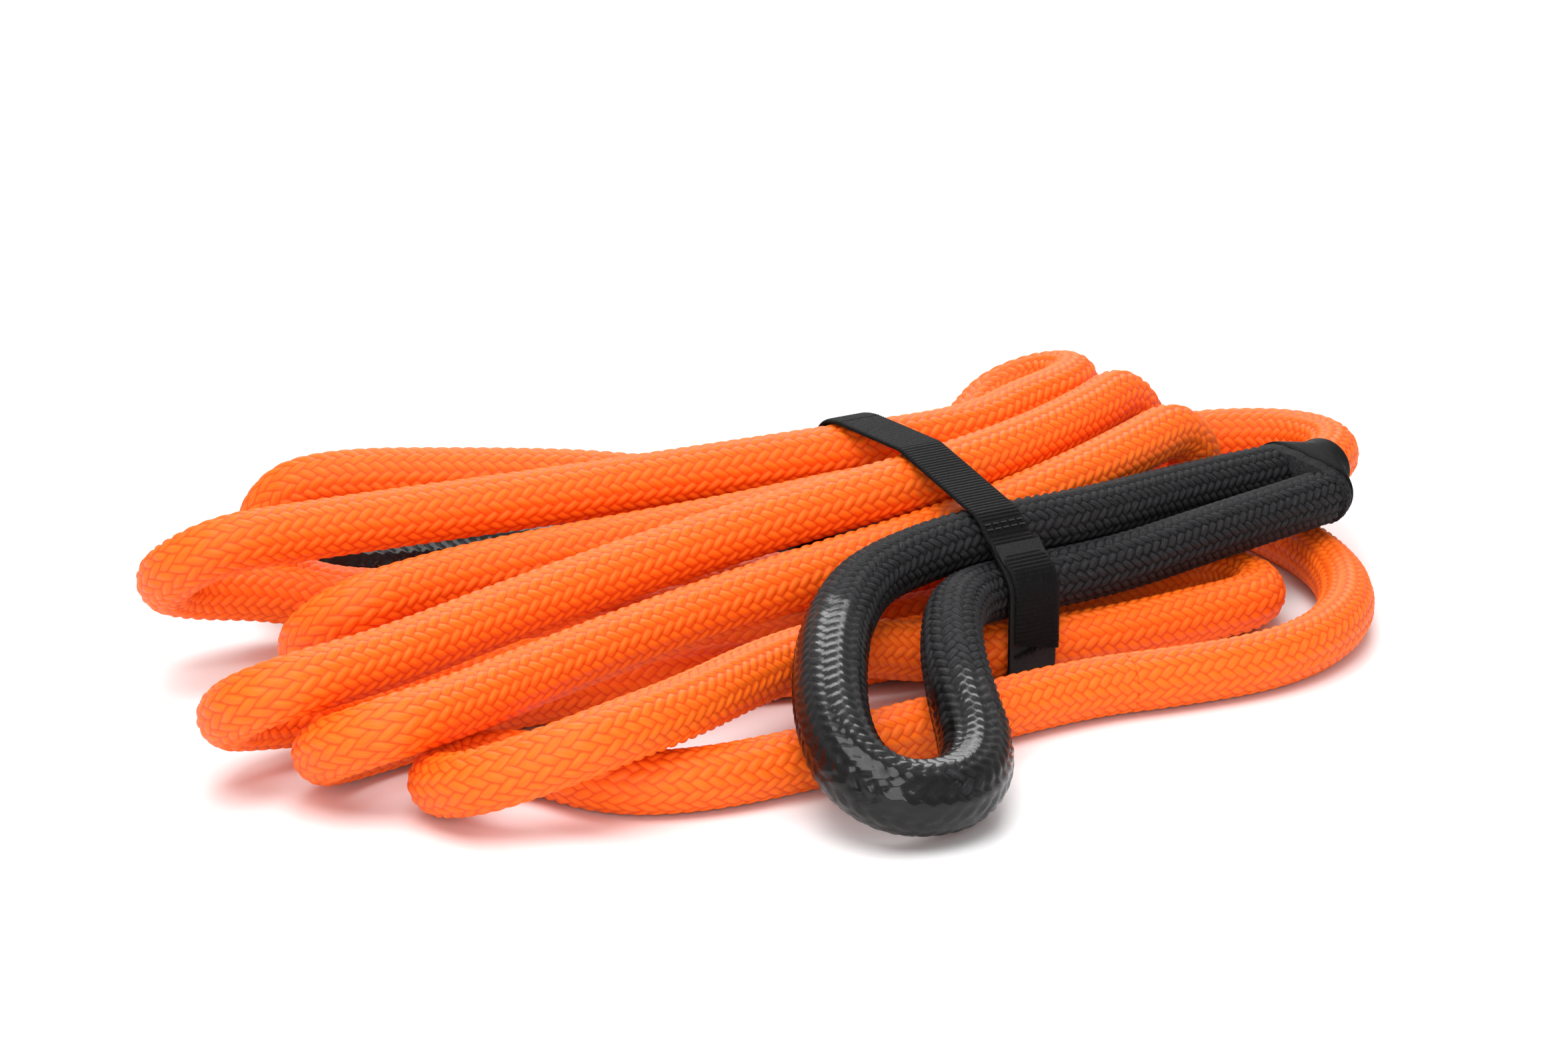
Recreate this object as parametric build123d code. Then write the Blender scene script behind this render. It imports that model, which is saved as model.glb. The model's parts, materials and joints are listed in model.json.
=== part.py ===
from build123d import *
import math
import os

# A double-braid recovery rope with two spliced eyes, folded into a hank and held at its waist by a
# hook-and-loop strap. Millimetres. X runs along the hank, the hank lies on the plane z = 0.

# ---------------------------------------------------------------- driving dimensions
ROPE_D = 22.0               # finished rope, over the braided cover
COVER_T = 3.4               # wall of the braided cover
CORE_CLEARANCE = 0.2        # radial, between the core and the cover
ROUNDING = 0.45             # share of the shorter run that a corner's arc takes up

COATING_T = 2.1             # rubbery coating on the bend of an eye
COATING_CLEARANCE = 0.1     # radial, between the eye's braid and its coating

THROAT_L = 24.0             # length over which the two legs of an eye become one rope
THROAT_END_SPREAD = 0.5     # how far the throat's section is still off round at the rope
WHIPPING_T = 1.1            # thickness of the thread whipping
WHIPPING_L = 18.0           # length of the whipping, from the rope end of the throat
LEG_OVERRUN = 9.0           # leg length that is trimmed off flush with the throat

WAIST_X = 71.0              # place of the strap along the hank
STRAP_W = 20.0
STRAP_T = 2.0               # ribbed webbing
STRAP_CLEARANCE = 0.3       # between the webbing and the strands it holds
STRAND_DIP = 0.7            # how far a strand sinks on either side of the strap
SAMPLE_PITCH = 6.0          # distance between the places where the strap is fitted to a strand
STRAND_REACH = 20.0         # length of strand, each way from the strap's middle, that it touches
LOOP_T = 1.0                # pile patch sewn on the webbing
HOOK_T = 0.8                # hook patch sewn on the tail
TAIL_T = 1.8                # webbing of the tail
PEEL_CLEARANCE = 0.3        # between the closed hook and pile patches
TAIL_END_Z = 19.0           # height of the tail's lower end
LOOP_END_Z = 7.0            # height of the pile patch's lower end
HOOK_MARGIN = 3.0           # bare webbing between the hook patch and the tail's lower end
HINGE_SHARE = 0.30          # place of the peel line, from the upper leg towards the lower one
PATCH_TOP_GAP = 4.0         # distance from the peel line to the top of both patches
STITCH_L = 2.6
STITCH_W = 0.6
STITCH_H = 0.4
STITCH_PITCH = 3.6
STITCH_ROWS = (1.4, 3.6)    # distance of each row from the upper leg's end of the slope

ORIGIN = (37.29, 36.09, -0.03)  # place of the part's own origin in the coordinates used below

# ---------------------------------------------------------------- the strands at the waist
ROPE_R = ROPE_D / 2
BELTED_Z = ROPE_R + STRAP_CLEARANCE + STRAP_T + STRAND_DIP  # centre of a strand on the strap

# Each strand where it passes the strap, as (y, z), in the order in which the rope comes by.
WAIST = {
    "pass_1": (62, BELTED_Z), "pass_2": (56, 42.5), "pass_3": (50, 67), "pass_4": (40.4, BELTED_Z),
    "pass_5": (28, 57), "pass_6": (17.8, BELTED_Z), "pass_7": (6, 66), "pass_8": (-4.8, BELTED_Z),
    "pass_9": (-9.5, 49), "pass_10": (-27.4, BELTED_Z), "pass_11": (-50, BELTED_Z),
    "pass_12": (-90, 11.3),
    "upper_leg": (-33, 54.9), "lower_leg": (-47, 36.8),
}
BELTED = ("pass_11", "pass_1", "pass_2", "pass_3", "pass_7", "upper_leg", "lower_leg")


def waist(name):
    return (WAIST_X,) + WAIST[name]


# ---------------------------------------------------------------- the rope's route, turn by turn
TURNS = [
    [(264, 1, 40), (279, 9, 40), (291, 26, 40), (290, 46, 39), (278, 62, 38), (254, 77, 36.5),
     (220, 86, 28.5), (183, 88, 17), (132, 86, 11.6), waist("pass_1")],
    [(5, 77.8, 11.4), (-45, 97, 11.4), (-82, 126, 13), (-114, 149, 14), (-131, 157, 27),
     (-131, 157, 48), (-116, 148, 62), (-55, 112, 61.5), (-15, 91, 59), (28, 76.5, 49.5),
     waist("pass_2")],
    [(105, 70, 44), (137, 86, 44), (163, 103, 50), (183, 114, 57), (200, 103, 65), (200, 80, 70),
     (182, 65, 70.5), (153, 57, 69.5), (130, 48, 67.5), (103, 46, 67), waist("pass_3"),
     (5, 61, 65), (-60, 73, 63), (-110, 84, 61.5), (-148, 91, 60.5), (-175, 94, 60),
     (-189, 105, 51), (-189, 122, 40), (-175, 133, 31), (-138, 129, 25), (-105, 110.5, 14.5),
     (-62, 79.5, 11.4), (2, 53.8, 11.4), waist("pass_4")],
    [(104, 48, 12.5), (114, 43.5, 24), (114, 35, 39), (104, 30, 50), waist("pass_5"),
     (10, 34, 53), (-45, 46, 49), (-90, 54, 46), (-120, 56, 43.5), (-142, 53, 42),
     (-155, 62, 33), (-155, 75, 21), (-142, 84, 12), (-105, 80.5, 11.4), (-62, 54, 11.4),
     (2, 29.8, 11.4), waist("pass_6")],
    [(115, 22, 13), (150, 33.5, 15), (180, 52, 19), (199, 62, 22), (214, 58, 36),
     (214, 54, 57), (199, 50, 71), (176, 38, 69), (126, 17, 68), waist("pass_7"), (5, 9, 60),
     (-60, 8, 53), (-120, 0, 47.5), (-165, -11, 45), (-203, -15, 44), (-216, -5, 37),
     (-216, 11, 27), (-203, 22, 20), (-160, 26, 13.5), (-105, 44, 11.4), (-62, 29.2, 11.4),
     (2, 5.8, 11.4), waist("pass_8")],
    [(112, -1, 13), (150, 8.5, 13), (183, 23, 13), (206, 30, 13), (220, 28, 27), (220, 25, 48),
     (206, 23, 62), (180, 13, 60), (132, -3, 56.6), waist("pass_9"), (0, -15, 45), (-70, -21, 39),
     (-125, -32, 35.5), (-152, -40, 34.6), (-180, -46, 34.4), (-194, -34, 27), (-194, -16, 18),
     (-180, -4, 11.5), (-140, 4, 11.4), (-105, 13, 11.4), (-62, 4.6, 11.4), (2, -17.8, 11.4),
     waist("pass_10")],
    [(112, -25, 13), (150, -16, 13), (185, -10, 13), (198, -23, 13.3), (198, -42, 13.7),
     (185, -55, 14), (160, -56, 14), (118, -55, 13.5), waist("pass_11"), (38, -44, 18),
     (0, -44, 28.5), (-45, -61.5, 32.5), (-88, -83, 34.5), (-125, -92, 34), (-144, -89, 29.5),
     (-165, -75, 20.5), (-168, -51, 12.2), (-156, -38, 11.3), (-138, -38, 11.3),
     (-126, -51, 11.3), (-119, -73, 11.3), (-103, -88, 11.3), (-70, -96, 11.3), (-5, -94, 11.3),
     waist("pass_12")],
    [(112, -100, 11.3), (150, -105, 11.3), (184, -97, 11.3), (212, -78, 11.3), (234, -50, 11.3),
     (248, -18, 11.3), (255, 18, 11.2), (257, 52, 11.2), (250, 84, 11.2), (236, 106, 11.2),
     (220, 119, 11.7), (203, 124, 12.4)],
]

# ---------------------------------------------------------------- the two eyes
# The rope's end, where the throat starts, the point before it, and the offset from the throat's
# axis to the centre of each leg.
EYE_A = {
    "rope_end": TURNS[0][0], "rope_inner": TURNS[0][1], "leg_offset": (-5.3, 10, 3.5),
    "route": [(237.5, -0.3, 43.5), (188, -7.5, 46), (125, -28, 51.7), waist("upper_leg"),
              (38, -38, 54), (6, -50, 53), (-21, -73, 47.5), (-42, -100, 39.5), (-56, -125, 30.5),
              (-59, -143, 22.5), (-49, -157, 16.5), (-26, -158, 15), (-8, -142, 18.5),
              (3, -116, 29.5), (15, -92, 38.5), (34, -67, 42.5), (60, -47.5, 38.5),
              (120, -45, 36), (185, -33, 37), (248.1, -20.3, 36.5)],
    "coated": (6, 13),
}
EYE_B = {
    "rope_end": TURNS[-1][-1], "rope_inner": TURNS[-1][-2], "leg_offset": (3.2, 10.8, 0),
    "route": [(176.8, 119.9, 12.4), (137, 121, 12.2), (85, 127, 12.8), (35, 138, 13.6),
              (-15, 150, 13.6), (-58, 160, 13.6), (-86, 172, 13.6), (-100, 195, 13.6),
              (-91, 219, 13.6), (-64, 232, 13.6), (-15, 219, 13.6), (35, 190, 13.6),
              (85, 166, 12.8), (137, 150, 12.2), (183.2, 141.5, 12.4)],
    "coated": (4, 10),
}
# ---------------------------------------------------------------- end of the route


def corner_radius(before, corner, after):
    run_in = Vector(corner) - Vector(before)
    run_out = Vector(after) - Vector(corner)
    half_turn = math.radians(run_in.get_angle(run_out)) / 2
    return ROUNDING * min(run_in.length, run_out.length) / math.tan(half_turn)


def corner_radii(points):
    return [corner_radius(*points[i - 1:i + 2]) for i in range(1, len(points) - 1)]


def middle(a, b):
    return tuple((p + q) / 2 for p, q in zip(a, b))


def stretch(points, first, last):
    """The path from the middle of the run before point first to the middle of the run after last."""
    radii = corner_radii(points)
    inner = points[first:last + 1]
    start = middle(points[first - 1], points[first]) if first else None
    end = middle(points[last], points[last + 1]) if last + 1 < len(points) else None
    chosen = ([start] if start else []) + inner + ([end] if end else [])
    kept = [radii[i - 1] for i in range(max(first, 1), min(last, len(points) - 2) + 1)]
    return FilletPolyline(*chosen, radius=kept)


def tube(path, outer_r, inner_r=0.0):
    section = Circle(outer_r)
    if inner_r:
        section -= Circle(inner_r)
    return sweep(Plane(origin=path @ 0, z_dir=path % 0) * section, path=path)


def report(name, shape, path, outer_r, inner_r=0.0):
    expected = math.pi * (outer_r ** 2 - inner_r ** 2) * path.length
    print(f"{name}: length {path.length:.0f}, volume {shape.volume / expected:.4f} of section x length")


# ---------------------------------------------------------------- rope
def rope_turns():
    """The cover, core and path of each turn. Turns meet in the middle of a straight run."""
    points = [point for turn in TURNS for point in turn]
    print("rope bend radii:", sorted(round(r) for r in corner_radii(points))[:12], "...")
    covers, cores, paths, first = {}, [], [], 0
    for number, turn in enumerate(TURNS, 1):
        path = stretch(points, first, first + len(turn) - 1)
        first += len(turn)
        cover = tube(path, ROPE_R, ROPE_R - COVER_T)
        report(f"rope_turn_{number}", cover, path, ROPE_R, ROPE_R - COVER_T)
        covers[f"rope_turn_{number}"] = cover
        cores.append(tube(path, ROPE_R - COVER_T - CORE_CLEARANCE))
        paths.append(path)
    return covers, cores, paths


# ---------------------------------------------------------------- eyes
def throat_plane(eye, distance):
    """The plane across the throat, distance from the rope's end, with x along the pair of legs."""
    axis = (Vector(eye["rope_end"]) - Vector(eye["rope_inner"])).normalized()
    origin = Vector(eye["rope_end"]) + axis * distance
    return Plane(origin=origin, x_dir=Vector(eye["leg_offset"]), z_dir=axis)


def throat_body(eye, extra=0.0):
    spread = 2 * Vector(eye["leg_offset"]).length
    rope_end = throat_plane(eye, 0) * SlotCenterToCenter(THROAT_END_SPREAD, ROPE_D + 2 * extra)
    leg_end = throat_plane(eye, THROAT_L) * SlotCenterToCenter(spread, ROPE_D + 2 * extra)
    return loft([rope_end.face(), leg_end.face()])


def eye_leg_points(route):
    """The eye's route with both ends run on past the throat, so that they can be trimmed flush."""
    def beyond(end, inner):
        way = (Vector(end) - Vector(inner)).normalized() * LEG_OVERRUN
        return tuple(Vector(end) + way)
    return [beyond(route[0], route[1])] + route[1:-1] + [beyond(route[-1], route[-2])]


def eye_path(eye):
    route = eye_leg_points(eye["route"])
    print("eye bend radii:", sorted(round(r) for r in corner_radii(route))[:5], "...")
    return FilletPolyline(*route, radius=corner_radii(route))


def eye_parts(letter, eye, path):
    trim = throat_plane(eye, THROAT_L) * Box(
        4 * ROPE_D, 4 * ROPE_D, THROAT_L, align=(Align.CENTER, Align.CENTER, Align.MAX))
    first, last = eye["coated"]
    coated = stretch(eye["route"], first, last)
    coating_in = ROPE_R + COATING_CLEARANCE
    whip_slab = throat_plane(eye, 0) * Box(
        4 * ROPE_D, 4 * ROPE_D, WHIPPING_L, align=(Align.CENTER, Align.CENTER, Align.MIN))
    throat = throat_body(eye)
    cover = tube(path, ROPE_R, ROPE_R - COVER_T)
    report(f"eye_{letter}_cover", cover, path, ROPE_R, ROPE_R - COVER_T)
    return {
        f"eye_{letter}_cover": cover - trim,
        f"eye_{letter}_core": tube(path, ROPE_R - COVER_T - CORE_CLEARANCE) - trim,
        f"eye_{letter}_coating": tube(coated, coating_in + COATING_T, coating_in),
        f"eye_{letter}_throat": throat,
        f"eye_{letter}_whipping": (throat_body(eye, WHIPPING_T) - throat) & whip_slab,
    }


# ---------------------------------------------------------------- strap
def strand_centres(paths):
    """Centres of the outer strands, as (y, z), at several places under and beside the strap."""
    centres = []
    for path in paths:
        count = round(path.length / SAMPLE_PITCH)
        for point in (path @ (k / count) for k in range(count + 1)):
            if any((point - Vector(waist(name))).length < STRAND_REACH for name in BELTED):
                centres.append((point.Y, point.Z))
    return centres


def belt(centres, radius):
    """What a belt round the strands encloses, radius from the centre of each strand."""
    circles = [Pos(y, z) * Circle(radius) for y, z in centres]
    hull = make_hull(ShapeList(edge for circle in circles for edge in circle.edges()))
    return extrude(Plane.YZ.offset(WAIST_X - STRAP_W / 2) * hull, amount=STRAP_W)


def slope_plane(distance, radius):
    """On the slope between the eye's two legs: distance down from the upper leg, out by radius."""
    top, bottom = Vector(0, *WAIST["upper_leg"]), Vector(0, *WAIST["lower_leg"])
    down = (bottom - top).normalized()
    out = down.cross(Vector(1, 0, 0)).normalized()
    origin = Vector(WAIST_X, 0, 0) + top + down * distance + out * radius
    return Plane(origin=origin, x_dir=(1, 0, 0), z_dir=out)


def front_region(start, end_z):
    """The space in front of the hank, from start on the slope between the legs down to end_z."""
    root = slope_plane(start, 0)
    far = 3 * ROPE_D
    top_in, top_out = root.origin, root.origin + root.z_dir * far
    low_out = Vector(WAIST_X, top_out.Y - far, end_z)
    low_in = Vector(WAIST_X, WAIST["lower_leg"][0], end_z)
    outline = [(p.Y, p.Z) for p in (top_in, top_out, low_out, low_in)]
    face = make_face(Polyline(*outline, close=True))
    return extrude(Plane.YZ.offset(WAIST_X - STRAP_W) * face, amount=2 * STRAP_W)


def stitch_blocks():
    """Blocks that cut the stitches out of the layer just above the webbing."""
    block = Box(STITCH_L, STITCH_W, ROPE_D)
    return [slope_plane(row, ROPE_D) * Pos(k * STITCH_PITCH, 0, 0) * block
            for row in STITCH_ROWS for k in range(-2, 3)]


def strap_parts(centres):
    hinge = HINGE_SHARE * math.dist(WAIST["upper_leg"], WAIST["lower_leg"])
    patch_top = hinge + PATCH_TOP_GAP
    inner = ROPE_R + STRAP_CLEARANCE
    web_out = inner + STRAP_T
    loop_out = web_out + LOOP_T
    hook_in = loop_out + PEEL_CLEARANCE
    tail_in = hook_in + HOOK_T
    webbing = belt(centres, web_out)
    pile = belt(centres, loop_out)
    lining = belt(centres, tail_in)
    thread_layer = belt(centres, web_out + STITCH_H) - webbing
    tail = (belt(centres, tail_in + TAIL_T) - lining) & front_region(hinge, TAIL_END_Z)
    root = min(tail.edges().filter_by(Axis.X),
               key=lambda edge: (edge.center() - slope_plane(hinge, tail_in).origin).length)
    line = root.center() - Vector(ORIGIN)
    print(f"peel line at y {line.Y:.3f}, z {line.Z:.3f}")
    return {
        "strap_webbing": webbing - belt(centres, inner),
        "strap_loop_patch": (pile - webbing) & front_region(patch_top, LOOP_END_Z),
        "strap_hook_patch": (lining - belt(centres, hook_in))
        & front_region(patch_top, TAIL_END_Z + HOOK_MARGIN),
        "strap_tail": tail,
        "strap_stitching": [thread_layer & block for block in stitch_blocks()],
    }


# ---------------------------------------------------------------- writing the nodes
def write(name, shape):
    pieces = shape if isinstance(shape, list) else [shape]
    solids = [solid for piece in pieces for solid in piece.solids()]
    home = Pos(*(-value for value in ORIGIN))
    moved = [home * solid for solid in solids]
    whole = moved[0] if len(moved) == 1 else Compound(children=moved)
    whole.label = name
    export_step(whole, os.path.join("parts", name + ".step"))
    return whole.bounding_box()


def main():
    os.makedirs("parts", exist_ok=True)
    covers, cores, rope_paths = rope_turns()
    eye_a_path, eye_b_path = eye_path(EYE_A), eye_path(EYE_B)
    nodes = dict(covers)
    nodes["rope_core"] = cores
    nodes.update(eye_parts("a", EYE_A, eye_a_path))
    nodes.update(eye_parts("b", EYE_B, eye_b_path))
    nodes.update(strap_parts(strand_centres(rope_paths + [eye_a_path])))
    boxes = [write(name, shape) for name, shape in nodes.items()]
    low = [min(getattr(box.min, axis) for box in boxes) for axis in "XYZ"]
    high = [max(getattr(box.max, axis) for box in boxes) for axis in "XYZ"]
    print("overall size:", [round(h - l, 2) for l, h in zip(low, high)])
    print("centre of the base:", round((low[0] + high[0]) / 2, 2), round((low[1] + high[1]) / 2, 2),
          "lowest:", round(low[2], 2))


main()
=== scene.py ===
import json
import math
import random

import bmesh
import bpy
from bpy.props import FloatProperty, FloatVectorProperty, IntProperty, PointerProperty
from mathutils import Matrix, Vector
from mathutils.geometry import convex_hull_2d


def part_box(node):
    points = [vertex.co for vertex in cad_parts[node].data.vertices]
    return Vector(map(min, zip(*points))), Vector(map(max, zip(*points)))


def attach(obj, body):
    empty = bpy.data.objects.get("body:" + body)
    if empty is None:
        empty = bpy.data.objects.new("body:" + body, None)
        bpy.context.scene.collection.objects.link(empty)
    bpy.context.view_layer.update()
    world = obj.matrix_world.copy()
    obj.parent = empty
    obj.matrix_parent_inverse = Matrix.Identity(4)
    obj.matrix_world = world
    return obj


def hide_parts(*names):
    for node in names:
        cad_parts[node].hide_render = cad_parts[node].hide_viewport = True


bl_info = {
    "name": "Recovery Rope Hank",
    "version": (1, 0, 0),
    "blender": (4, 5, 0),
    "location": "View3D > Sidebar > Rope",
    "description": "Braids a folded recovery rope, its spliced eyes and its strap round a CAD frame",
    "category": "Object",
}

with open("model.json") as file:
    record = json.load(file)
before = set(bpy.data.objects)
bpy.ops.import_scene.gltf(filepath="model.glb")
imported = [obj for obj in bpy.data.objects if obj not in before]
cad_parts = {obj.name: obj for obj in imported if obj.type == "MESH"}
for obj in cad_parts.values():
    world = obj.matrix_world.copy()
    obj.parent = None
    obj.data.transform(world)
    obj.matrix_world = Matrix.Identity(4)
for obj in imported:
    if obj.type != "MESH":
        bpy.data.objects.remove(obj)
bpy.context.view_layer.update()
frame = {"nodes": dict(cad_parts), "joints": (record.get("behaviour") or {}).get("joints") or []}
MM = 0.001

# ------------------------------------------------------------------ the route, in millimetres
# The same points as the CAD model's. The part's origin is taken off when they are used.
ORIGIN = (37.29, 36.09, -0.03)
WAIST_X = 71.0
BELTED_Z = 14.0
WAIST = {
    "pass_1": (62, BELTED_Z), "pass_2": (56, 42.5), "pass_3": (50, 67), "pass_4": (40.4, BELTED_Z),
    "pass_5": (28, 57), "pass_6": (17.8, BELTED_Z), "pass_7": (6, 66), "pass_8": (-4.8, BELTED_Z),
    "pass_9": (-9.5, 49), "pass_10": (-27.4, BELTED_Z), "pass_11": (-50, BELTED_Z),
    "pass_12": (-90, 11.3),
    "upper_leg": (-33, 54.9), "lower_leg": (-47, 36.8),
}


def waist(name):
    return (WAIST_X,) + WAIST[name]


TURNS = [
    [(264, 1, 40), (279, 9, 40), (291, 26, 40), (290, 46, 39), (278, 62, 38), (254, 77, 36.5),
     (220, 86, 28.5), (183, 88, 17), (132, 86, 11.6), waist("pass_1")],
    [(5, 77.8, 11.4), (-45, 97, 11.4), (-82, 126, 13), (-114, 149, 14), (-131, 157, 27),
     (-131, 157, 48), (-116, 148, 62), (-55, 112, 61.5), (-15, 91, 59), (28, 76.5, 49.5),
     waist("pass_2")],
    [(105, 70, 44), (137, 86, 44), (163, 103, 50), (183, 114, 57), (200, 103, 65), (200, 80, 70),
     (182, 65, 70.5), (153, 57, 69.5), (130, 48, 67.5), (103, 46, 67), waist("pass_3"),
     (5, 61, 65), (-60, 73, 63), (-110, 84, 61.5), (-148, 91, 60.5), (-175, 94, 60),
     (-189, 105, 51), (-189, 122, 40), (-175, 133, 31), (-138, 129, 25), (-105, 110.5, 14.5),
     (-62, 79.5, 11.4), (2, 53.8, 11.4), waist("pass_4")],
    [(104, 48, 12.5), (114, 43.5, 24), (114, 35, 39), (104, 30, 50), waist("pass_5"),
     (10, 34, 53), (-45, 46, 49), (-90, 54, 46), (-120, 56, 43.5), (-142, 53, 42),
     (-155, 62, 33), (-155, 75, 21), (-142, 84, 12), (-105, 80.5, 11.4), (-62, 54, 11.4),
     (2, 29.8, 11.4), waist("pass_6")],
    [(115, 22, 13), (150, 33.5, 15), (180, 52, 19), (199, 62, 22), (214, 58, 36),
     (214, 54, 57), (199, 50, 71), (176, 38, 69), (126, 17, 68), waist("pass_7"), (5, 9, 60),
     (-60, 8, 53), (-120, 0, 47.5), (-165, -11, 45), (-203, -15, 44), (-216, -5, 37),
     (-216, 11, 27), (-203, 22, 20), (-160, 26, 13.5), (-105, 44, 11.4), (-62, 29.2, 11.4),
     (2, 5.8, 11.4), waist("pass_8")],
    [(112, -1, 13), (150, 8.5, 13), (183, 23, 13), (206, 30, 13), (220, 28, 27), (220, 25, 48),
     (206, 23, 62), (180, 13, 60), (132, -3, 56.6), waist("pass_9"), (0, -15, 45), (-70, -21, 39),
     (-125, -32, 35.5), (-152, -40, 34.6), (-180, -46, 34.4), (-194, -34, 27), (-194, -16, 18),
     (-180, -4, 11.5), (-140, 4, 11.4), (-105, 13, 11.4), (-62, 4.6, 11.4), (2, -17.8, 11.4),
     waist("pass_10")],
    [(112, -25, 13), (150, -16, 13), (185, -10, 13), (198, -23, 13.3), (198, -42, 13.7),
     (185, -55, 14), (160, -56, 14), (118, -55, 13.5), waist("pass_11"), (38, -44, 18),
     (0, -44, 28.5), (-45, -61.5, 32.5), (-88, -83, 34.5), (-125, -92, 34), (-144, -89, 29.5),
     (-165, -75, 20.5), (-168, -51, 12.2), (-156, -38, 11.3), (-138, -38, 11.3),
     (-126, -51, 11.3), (-119, -73, 11.3), (-103, -88, 11.3), (-70, -96, 11.3), (-5, -94, 11.3),
     waist("pass_12")],
    [(112, -100, 11.3), (150, -105, 11.3), (184, -97, 11.3), (212, -78, 11.3), (234, -50, 11.3),
     (248, -18, 11.3), (255, 18, 11.2), (257, 52, 11.2), (250, 84, 11.2), (236, 106, 11.2),
     (220, 119, 11.7), (203, 124, 12.4)],
]

EYE_A = {
    "rope_end": TURNS[0][0], "rope_inner": TURNS[0][1], "leg_offset": (-5.3, 10, 3.5),
    "route": [(237.5, -0.3, 43.5), (188, -7.5, 46), (125, -28, 51.7), waist("upper_leg"),
              (38, -38, 54), (6, -50, 53), (-21, -73, 47.5), (-42, -100, 39.5), (-56, -125, 30.5),
              (-59, -143, 22.5), (-49, -157, 16.5), (-26, -158, 15), (-8, -142, 18.5),
              (3, -116, 29.5), (15, -92, 38.5), (34, -67, 42.5), (60, -47.5, 38.5),
              (120, -45, 36), (185, -33, 37), (248.1, -20.3, 36.5)],
    "coated": (6, 13),
}
EYE_B = {
    "rope_end": TURNS[-1][-1], "rope_inner": TURNS[-1][-2], "leg_offset": (3.2, 10.8, 0),
    "route": [(176.8, 119.9, 12.4), (137, 121, 12.2), (85, 127, 12.8), (35, 138, 13.6),
              (-15, 150, 13.6), (-58, 160, 13.6), (-86, 172, 13.6), (-100, 195, 13.6),
              (-91, 219, 13.6), (-64, 232, 13.6), (-15, 219, 13.6), (35, 190, 13.6),
              (85, 166, 12.8), (137, 150, 12.2), (183.2, 141.5, 12.4)],
    "coated": (4, 10),
}

# ------------------------------------------------------------------ settings
class RopeSettings(bpy.types.PropertyGroup):
    radius: FloatProperty(name="Radius", description="Radius over the crown of the braid",
                          default=11.15 * MM, unit="LENGTH", subtype="DISTANCE")
    relief: FloatProperty(name="Relief", description="Depth of the grooves between the strands",
                          default=0.8 * MM, unit="LENGTH", subtype="DISTANCE")
    carriers: IntProperty(name="Carriers", description="Strands in the braid, a multiple of four",
                          default=32, min=8, max=64)
    stitch: FloatProperty(name="Stitch", description="Length of one crossing along the rope",
                          default=5.2 * MM, unit="LENGTH", subtype="DISTANCE")
    eye_stitch: FloatProperty(name="Eye stitch", description="Crossing length on the black braid",
                              default=4.6 * MM, unit="LENGTH", subtype="DISTANCE")
    coating: FloatProperty(name="Coating", description="Thickness added on the bend of an eye",
                           default=1.9 * MM, unit="LENGTH", subtype="DISTANCE")
    colour: FloatVectorProperty(name="Cover colour", description="Colour of the braided cover",
                                default=(0.98, 0.135, 0.005), size=3, subtype="COLOR")
    # painted shade: the darker colour the orange braid is given in the grooves between its strands,
    # where shade falls
    groove_shade_colour: FloatVectorProperty(name="Groove colour", description="Colour between strands",
                                       default=(0.82, 0.065, 0.003), size=3, subtype="COLOR")
    eye_colour: FloatVectorProperty(name="Eye colour", description="Colour of the eyes' braid",
                                    default=(0.013, 0.013, 0.014), size=3, subtype="COLOR")


class StrapSettings(bpy.types.PropertyGroup):
    rib_pitch: FloatProperty(name="Rib pitch", description="Distance between the webbing's ribs",
                             default=1.7 * MM, unit="LENGTH", subtype="DISTANCE")
    rib_height: FloatProperty(name="Rib height", description="Height of a rib",
                              default=0.3 * MM, unit="LENGTH", subtype="DISTANCE")
    end_slant: FloatProperty(name="End slant", description="How far the tail's cut end is askew",
                             default=4.6 * MM, unit="LENGTH", subtype="DISTANCE")
    colour: FloatVectorProperty(name="Webbing colour", description="Colour of the webbing",
                                default=(0.0025, 0.0025, 0.0028), size=3, subtype="COLOR")


class StageSettings(bpy.types.PropertyGroup):
    lens: FloatProperty(name="Lens", description="Focal length of the camera", default=85.7)
    floor_colour: FloatVectorProperty(name="Floor colour", description="Colour of the floor",
                                      default=(0.93, 0.93, 0.935), size=3, subtype="COLOR")


SETTINGS = (("rope_hank", RopeSettings), ("rope_strap", StrapSettings),
            ("rope_stage", StageSettings))


# ------------------------------------------------------------------ shader maths
class Wire:
    """A socket that can be multiplied."""

    def __init__(self, shader, socket):
        self.shader, self.socket = shader, socket

    def __mul__(self, other):
        return self.shader.node("ShaderNodeMath", {"operation": "MULTIPLY"}, {0: self, 1: other})

    __rmul__ = __mul__


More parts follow.
